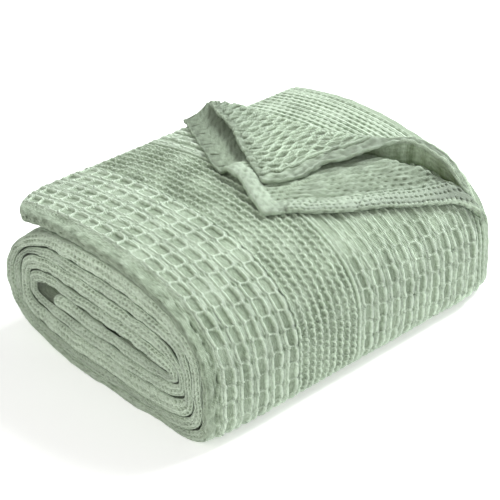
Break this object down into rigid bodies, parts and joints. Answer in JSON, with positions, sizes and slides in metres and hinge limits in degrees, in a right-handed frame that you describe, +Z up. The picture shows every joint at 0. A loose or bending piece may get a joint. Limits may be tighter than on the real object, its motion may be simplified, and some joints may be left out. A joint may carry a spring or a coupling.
{
  "type": "rolled waffle weave blanket",
  "caption": "Waffle weave cotton blanket folded lengthwise and rolled up flat, its free end on top with one hemmed corner turned back in layers.",
  "frame": {"origin": "centre of the outline at the flat underside", "axes": "+Y along the roll's axis away from the end shown at the front, +X to the side without the free edge, +Z up"},
  "size_m": [0.2951, 0.382, 0.1644],
  "materials": {
    "waffle_cotton": "matte waffle weave"
  },
  "bodies": {
    "root": {"blanket": "waffle_cotton"}
  },
  "joints": []
}
